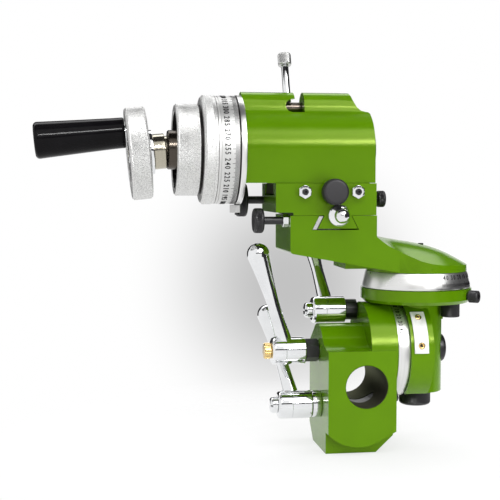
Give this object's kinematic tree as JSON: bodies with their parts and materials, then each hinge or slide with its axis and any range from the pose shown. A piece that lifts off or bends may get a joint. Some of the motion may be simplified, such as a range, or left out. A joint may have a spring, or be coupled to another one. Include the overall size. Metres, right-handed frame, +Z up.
{
  "type": "end mill grinder",
  "caption": "Indexing work head of an end mill grinder: collet spindle with draw-tube handwheel on two dovetail slides, a swivel and a tilting bar clamp",
  "frame": {"origin": "the middle of the bar bore, where the machine's round bar holds the work head", "axes": "+X along the spindle from the handwheel to the collet nose, +Y along the bar away from the viewer, +Z up"},
  "size_m": [0.3986, 0.1439, 0.3614],
  "materials": {
    "green_paint": "gloss bright green machine paint over a cast surface",
    "machined_alloy": "fine turned satin aluminium",
    "bright_steel": "polished chrome plate",
    "grey_steel": "ground steel, slightly dull",
    "black_plastic": "black moulded plastic with a soft shine",
    "black_oxide": "blackened steel with a film of oil",
    "brass": "turned brass",
    "white_plate": "plain matt white plate"
  },
  "bodies": {
    "base": {"base_casting": "green_paint", "tilt_pointer": "black_oxide", "bar_cotter": "grey_steel"},
    "bar_clamp": {"bar_lever": "bright_steel", "bar_lever_pin": "bright_steel", "bar_lever_spacer": "bright_steel"},
    "tilt_clamp": {"tilt_lever": "bright_steel", "tilt_end_screw": "brass", "tilt_spacer": "black_oxide"},
    "flange_clamp": {"flange_lever": "bright_steel", "flange_lever_pin": "bright_steel", "flange_lever_collar": "black_oxide"},
    "knuckle": {"knuckle_casting": "green_paint", "tilt_bolt": "grey_steel", "tilt_ring": "machined_alloy", "swivel_ring": "machined_alloy", "name_plate": "white_plate", "upper_rivet": "brass", "lower_rivet": "brass", "disc_screw": "black_oxide"},
    "side_screw": {"swivel_side_screw": "black_oxide"},
    "lock_knob": {"swivel_lock_knob": "black_plastic"},
    "under_nut": {"swivel_nut": "black_plastic"},
    "slide_body": {"slide_base": "green_paint", "cross_gib": "machined_alloy", "gib_thumb_nut": "bright_steel", "dome_screw": "black_oxide", "swivel_bolt": "grey_steel"},
    "thumb_screw": {"gib_thumb_screw": "black_plastic"},
    "cross_body": {"cross_slide": "green_paint", "head_gib": "machined_alloy", "left_gib_screw": "black_oxide", "left_gib_nut": "grey_steel", "right_gib_screw": "black_oxide", "right_gib_nut": "grey_steel", "push_handle": "bright_steel"},
    "clamp_knob": {"head_clamp_knob": "black_plastic"},
    "left_stop": {"left_stop_screw": "black_plastic"},
    "right_stop": {"right_stop_screw": "black_plastic"},
    "head": {"head_casting": "green_paint", "fixed_ring": "machined_alloy", "zero_pointer": "machined_alloy", "pointer_screw": "black_oxide"},
    "plunger": {"index_rod": "bright_steel", "plunger_stem": "bright_steel", "plunger_knob": "bright_steel"},
    "spindle_body": {"spindle": "grey_steel", "graduated_dial": "machined_alloy", "index_plate": "machined_alloy", "flange_ring": "machined_alloy", "lock_ring": "machined_alloy", "upper_lock_screw": "black_oxide", "lower_lock_screw": "black_oxide"},
    "drawbar": {"draw_tube": "grey_steel", "draw_washer": "bright_steel", "handwheel": "machined_alloy", "wheel_nut": "grey_steel", "handle_stud": "bright_steel"},
    "handle_grip": {"crank_handle": "black_plastic"}
  },
  "joints": [
    {"name": "knuckle_tilt", "type": "hinge", "parent": "base", "child": "knuckle", "pos_m": [-0.03, 0.005, 0.0274], "axis": [1, 0, 0], "range_deg": [-3, 45]},
    {"name": "bar_clamp_turn", "type": "hinge", "parent": "base", "child": "bar_clamp", "pos_m": [-0.06, -0.005, -0.0205], "axis": [1, 0, 0], "range_deg": [-70, 0]},
    {"name": "tilt_clamp_turn", "type": "hinge", "parent": "base", "child": "tilt_clamp", "pos_m": [-0.06, 0.005, 0.0274], "axis": [1, 0, 0], "range_deg": [0, 72]},
    {"name": "flange_clamp_turn", "type": "hinge", "parent": "base", "child": "flange_clamp", "pos_m": [-0.06, 0.023, 0.0624], "axis": [1, 0, 0], "range_deg": [-40, 0]},
    {"name": "side_screw_turn", "type": "hinge", "parent": "knuckle", "child": "side_screw", "pos_m": [0.1, 0.005, 0.0274], "axis": [1, 0, 0], "range_deg": [-90, 90]},
    {"name": "lock_knob_turn", "type": "hinge", "parent": "knuckle", "child": "lock_knob", "pos_m": [0.0575, 0.005, 0.0781], "axis": [0.766, -0.6428, 0], "range_deg": [-180, 180]},
    {"name": "swivel_turn", "type": "hinge", "parent": "knuckle", "child": "slide_body", "pos_m": [0.0575, 0.005, 0.09], "axis": [0, 0, 1], "range_deg": [-3, 45]},
    {"name": "under_nut_turn", "type": "hinge", "parent": "slide_body", "child": "under_nut", "pos_m": [0.0575, 0.005, 0], "axis": [0, 0, 1], "continuous": true},
    {"name": "thumb_screw_turn", "type": "hinge", "parent": "slide_body", "child": "thumb_screw", "pos_m": [-0.08, -0.023, 0.1474], "axis": [1, 0, 0], "range_deg": [-180, 180]},
    {"name": "cross_travel", "type": "slide", "parent": "slide_body", "child": "cross_body", "axis": [0, 1, 0], "range_m": [-0.02, 0.02]},
    {"name": "clamp_knob_turn", "type": "hinge", "parent": "cross_body", "child": "clamp_knob", "pos_m": [-0.02956, -0.05, 0.1727], "axis": [0, 1, 0], "range_deg": [-180, 180]},
    {"name": "left_stop_turn", "type": "hinge", "parent": "cross_body", "child": "left_stop", "pos_m": [-0.09, 0.035, 0.1648], "axis": [1, 0, 0], "range_deg": [-180, 180]},
    {"name": "right_stop_turn", "type": "hinge", "parent": "cross_body", "child": "right_stop", "pos_m": [0.02, 0.013, 0.1658], "axis": [1, 0, 0], "range_deg": [-180, 180]},
    {"name": "head_travel", "type": "slide", "parent": "cross_body", "child": "head", "axis": [1, 0, 0], "range_m": [-0.015, 0]},
    {"name": "plunger_travel", "type": "slide", "parent": "head", "child": "plunger", "axis": [1, 0, 0], "range_m": [-0.0045, 0.0085]},
    {"name": "spindle_turn", "type": "hinge", "parent": "head", "child": "spindle_body", "pos_m": [-0.05, 0.005, 0.21], "axis": [1, 0, 0], "continuous": true},
    {"name": "drawbar_turn", "type": "hinge", "parent": "spindle_body", "child": "drawbar", "pos_m": [-0.1642, 0.005, 0.21], "axis": [0.9954, 0, 0.0958], "continuous": true},
    {"name": "handle_turn", "type": "hinge", "parent": "drawbar", "child": "handle_grip", "pos_m": [-0.16605, 0.005, 0.22921], "axis": [0.9954, 0, 0.0958], "continuous": true}
  ]
}
